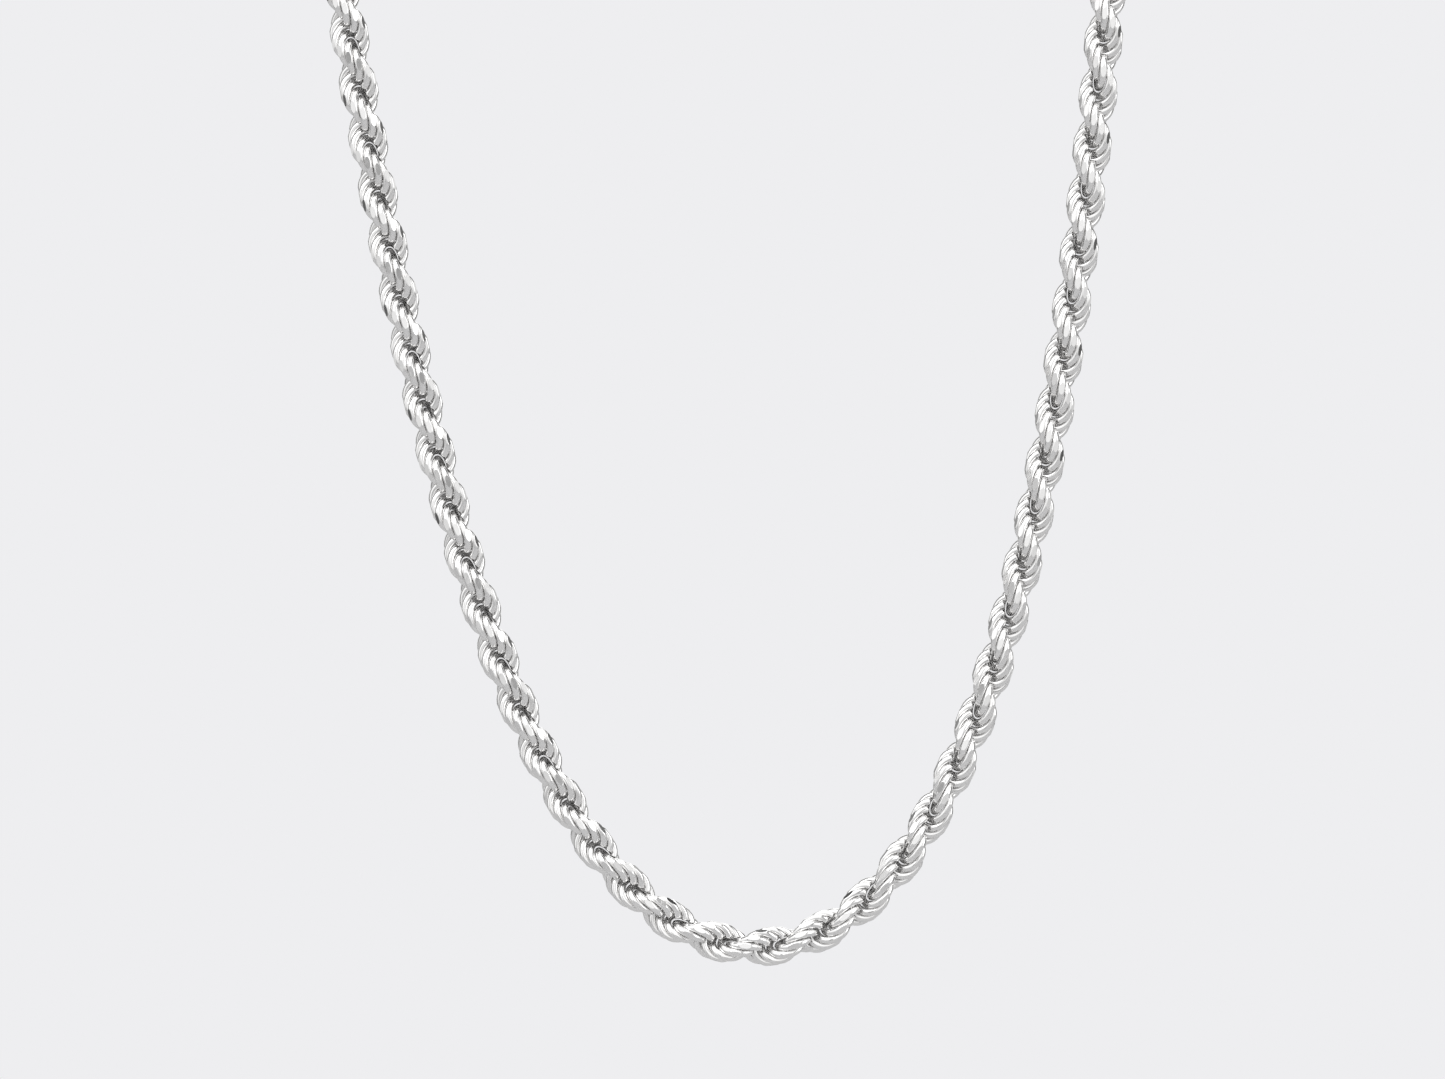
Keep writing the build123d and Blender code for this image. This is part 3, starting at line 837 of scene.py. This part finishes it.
@dataclass
class Fittings:
    """End caps, rings, rivet and spring, whose shapes are the CAD part's own."""

    cast_nodes: tuple[str, ...] = (
        "end_cap_left",
        "end_cap_right",
        "clasp_ring",
        "catch_ring",
        "clasp_rivet",
    )
    spring_nodes: tuple[str, ...] = ("clasp_spring",)

    def dress(
        self, nodes: dict[str, bpy.types.Object], cast: bpy.types.Material, wire: bpy.types.Material
    ) -> None:
        """Give each fitting its finish.

        Args:
            nodes: The CAD part's objects by name.
            cast: The finish of the cast pieces.
            wire: The finish of the spring.
        """
        for names, finish in ((self.cast_nodes, cast), (self.spring_nodes, wire)):
            for name in names:
                for slot in nodes[name].material_slots:
                    slot.material = finish
                LOG.info("dressed %s in %s", name, finish.name)


# ---------------------------------------------------------------------------------------------- studio


@dataclass(frozen=True)
class Softbox:
    """A soft rectangular lamp, placed round the middle of the view."""

    name: str
    azimuth: float
    elevation: float
    distance: float
    width: float
    height: float
    power: float
    tint: tuple[float, float, float] = (1.0, 1.0, 1.0)

    def build(self, middle: Vector) -> bpy.types.Object:
        """Make the lamp.

        Args:
            middle: The point that it faces, in metres.

        Returns:
            The lamp's object.
        """
        lamp = bpy.data.lights.new(self.name, "AREA")
        lamp.shape = "RECTANGLE"
        lamp.size, lamp.size_y = self.width, self.height
        lamp.energy = self.power
        lamp.color = self.tint
        turn, lift = math.radians(self.azimuth), math.radians(self.elevation)
        away = Vector((math.sin(turn) * math.cos(lift), -math.cos(turn) * math.cos(lift), math.sin(lift)))
        item = bpy.data.objects.new(self.name, lamp)
        item.location = middle + away * self.distance
        item.rotation_euler = away.to_track_quat("Z", "Y").to_euler()
        bpy.context.scene.collection.objects.link(item)
        return item


@dataclass
class Studio:
    """A pale room with a floor well below the hanging necklace, soft lamps and the camera."""

    view_width: float = 179.3
    distance: float = 1200.0
    sensor: float = 36.0
    roll: float = math.radians(-2.07)
    lowest_right_of_middle: float = 4.85
    lowest_below_middle: float = 50.55
    floor_drop: float = 250.0
    floor_radius: float = 1200.0
    floor_corners: int = 96
    floor_roughness: float = 0.9
    floor_cloud_scale: float = 4.0
    floor_tones: tuple[tuple[float, float, float], ...] = ((0.90, 0.90, 0.91), (0.95, 0.95, 0.96))
    # A darker floor tone that only rays other than the camera's see: painted shade on the floor as the
    # silver reflects it.
    floor_shade_in_reflections: tuple[float, float, float] = (0.60, 0.60, 0.605)
    backdrop: tuple[float, float, float] = (0.855, 0.855, 0.871)
    clip: tuple[float, float] = (0.01, 10.0)
    height_light: tuple[tuple[float, float], ...] = (
        (0.0, 0.34),
        (0.30, 0.45),
        (0.46, 0.85),
        (0.62, 1.05),
        (1.0, 1.15),
    )
    depth_light: tuple[tuple[float, float], ...] = (
        (0.0, 1.0),
        (0.30, 1.05),
        (0.50, 0.80),
        (0.54, 0.14),
        (0.72, 0.14),
        (0.80, 0.80),
        (1.0, 0.95),
    )
    side_cards: tuple[tuple[float, float], ...] = (
        (0.0, 1.0),
        (0.20, 1.0),
        (0.23, 0.35),
        (0.28, 0.35),
        (0.31, 1.0),
        (0.70, 1.0),
        (0.73, 0.35),
        (0.78, 0.35),
        (0.81, 1.0),
    )
    softboxes: tuple[Softbox, ...] = (
        Softbox("key softbox", -40.0, 42.0, 0.9, 0.55, 0.55, 1.3),
        Softbox("fill softbox", 62.0, 18.0, 1.0, 0.35, 0.8, 0.9),
        Softbox("top softbox", 10.0, 80.0, 0.8, 0.8, 0.5, 1.2),
        Softbox("back softbox", 170.0, 50.0, 1.0, 0.5, 0.4, 0.6),
    )

    def build(self, lowest: float) -> None:
        """Make the room round the necklace.

        Args:
            lowest: Height of the lowest point of the rope's centre line, in millimetres.
        """
        right = Vector((math.cos(self.roll), 0.0, math.sin(self.roll)))
        up = Vector((-math.sin(self.roll), 0.0, math.cos(self.roll)))
        bottom = Vector((0.0, 0.0, lowest))
        middle = (bottom - right * self.lowest_right_of_middle + up * self.lowest_below_middle) * MM
        self._camera(middle, right, up)
        self._floor(lowest)
        self._world()
        for softbox in self.softboxes:
            softbox.build(middle)

    def _camera(self, middle: Vector, right: Vector, up: Vector) -> None:
        """Make the camera in front of the middle of the view.

        Args:
            middle: The middle of the view, in metres.
            right: The view's direction to the right.
            up: The view's direction upwards.
        """
        lens = bpy.data.cameras.new("camera")
        lens.sensor_width = self.sensor
        lens.sensor_fit = "HORIZONTAL"
        lens.lens = self.sensor * self.distance / self.view_width
        lens.clip_start, lens.clip_end = self.clip
        camera = bpy.data.objects.new("camera", lens)
        back = Vector((0.0, -1.0, 0.0))
        camera.matrix_world = Matrix.Translation(middle + back * self.distance * MM) @ Matrix(
            (right, up, back)
        ).transposed().to_4x4()
        bpy.context.scene.collection.objects.link(camera)
        bpy.context.scene.camera = camera

    def _floor(self, lowest: float) -> None:
        """Make the pale floor, with a darker tone of painted shade that only reflections and bounced light
        see.

        Args:
            lowest: Height of the lowest point of the necklace, in millimetres.
        """
        rim = [
            (
                self.floor_radius * MM * math.cos(2 * math.pi * n / self.floor_corners),
                self.floor_radius * MM * math.sin(2 * math.pi * n / self.floor_corners),
                (lowest - self.floor_drop) * MM,
            )
            for n in range(self.floor_corners)
        ]
        mesh = bpy.data.meshes.new("floor")
        mesh.from_pydata(rim, [], [tuple(range(self.floor_corners))])
        floor = bpy.data.objects.new("floor", mesh)
        bpy.context.scene.collection.objects.link(floor)
        material = bpy.data.materials.new("pale floor")
        material.use_nodes = True
        make = Wiring(material.node_tree)
        shader = material.node_tree.nodes["Principled BSDF"]
        shader.inputs["Roughness"].default_value = self.floor_roughness
        cloud = make("ShaderNodeTexNoise")
        cloud.inputs["Scale"].default_value = self.floor_cloud_scale
        tone = make("ShaderNodeMix", data_type="RGBA")
        for name, colour in zip("AB", self.floor_tones):
            make.socket(tone, name, "RGBA").default_value = (*colour, 1.0)
        make.link(cloud.outputs["Fac"], tone.inputs["Factor"])
        # Rays other than the camera's see the darker tone: painted shade in the floor's reflections.
        path = make("ShaderNodeLightPath")
        lit = make("ShaderNodeMix", data_type="RGBA")
        make.socket(lit, "A", "RGBA").default_value = (*self.floor_shade_in_reflections, 1.0)
        make.link(path.outputs["Is Camera Ray"], lit.inputs["Factor"])
        make.link(make.result(tone), make.socket(lit, "B", "RGBA"))
        make.link(make.result(lit), shader.inputs["Base Color"])
        mesh.materials.append(material)

    def _world(self) -> None:
        """Make the room's light: a plain pale backdrop, with panels and dark cards for the silver."""
        world = bpy.data.worlds.new("studio")
        world.use_nodes = True
        bpy.context.scene.world = world
        tree = world.node_tree
        make = Wiring(tree)
        background = tree.nodes["Background"]
        place = make("ShaderNodeTexCoord")
        split = make("ShaderNodeSeparateXYZ")
        make.link(place.outputs["Generated"], split.inputs["Vector"])
        room = None
        for axis, stops in (("Z", self.height_light), ("Y", self.depth_light), ("X", self.side_cards)):
            place_along = make("ShaderNodeMapRange")
            place_along.inputs["From Min"].default_value = -1.0
            make.link(split.outputs[axis], place_along.inputs["Value"])
            ramp = make("ShaderNodeValToRGB")
            self._stops(ramp.color_ramp, stops)
            make.link(place_along.outputs["Result"], ramp.inputs["Fac"])
            if room is None:
                room = ramp.outputs["Color"]
                continue
            both = make("ShaderNodeMix", data_type="RGBA", blend_type="MULTIPLY")
            both.inputs["Factor"].default_value = 1.0
            make.link(room, make.socket(both, "A", "RGBA"))
            make.link(ramp.outputs["Color"], make.socket(both, "B", "RGBA"))
            room = make.result(both)
        path = make("ShaderNodeLightPath")
        seen = make("ShaderNodeMix", data_type="RGBA")
        make.link(path.outputs["Is Camera Ray"], seen.inputs["Factor"])
        make.link(room, make.socket(seen, "A", "RGBA"))
        make.socket(seen, "B", "RGBA").default_value = (*self.backdrop, 1.0)
        make.link(make.result(seen), background.inputs["Color"])

    @staticmethod
    def _stops(ramp: bpy.types.ColorRamp, stops: tuple[tuple[float, float], ...]) -> None:
        """Set a ramp's stops.

        Args:
            ramp: The ramp.
            stops: Each stop's place from 0 to 1 and grey value.
        """
        for index, (place, grey) in enumerate(stops):
            stop = ramp.elements[index] if index < 2 else ramp.elements.new(place)
            stop.position = place
            stop.color = (grey, grey, grey, 1.0)


# ---------------------------------------------------------------------------------------------- all together


def main() -> None:
    """Build the necklace's looks on its frame, then the studio round it."""
    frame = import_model()
    bpy.context.scene.view_settings.view_transform = "Standard"
    effects = Effects()
    chain = RopeChain()
    for piece in chain.build(ROPE_SILVER.build(effects)):
        LOG.info("built %s with %d faces", piece.name, len(piece.data.polygons))
    cast = CAST_SILVER.build(effects)
    for piece in CrownedClasp().build(frame["nodes"], cast):
        LOG.info("built %s with %d faces", piece.name, len(piece.data.polygons))
    Fittings().dress(frame["nodes"], cast, SPRING_WIRE.build(effects))
    Studio().build(chain.loop.lowest)


if __name__ == "__main__":
    main()
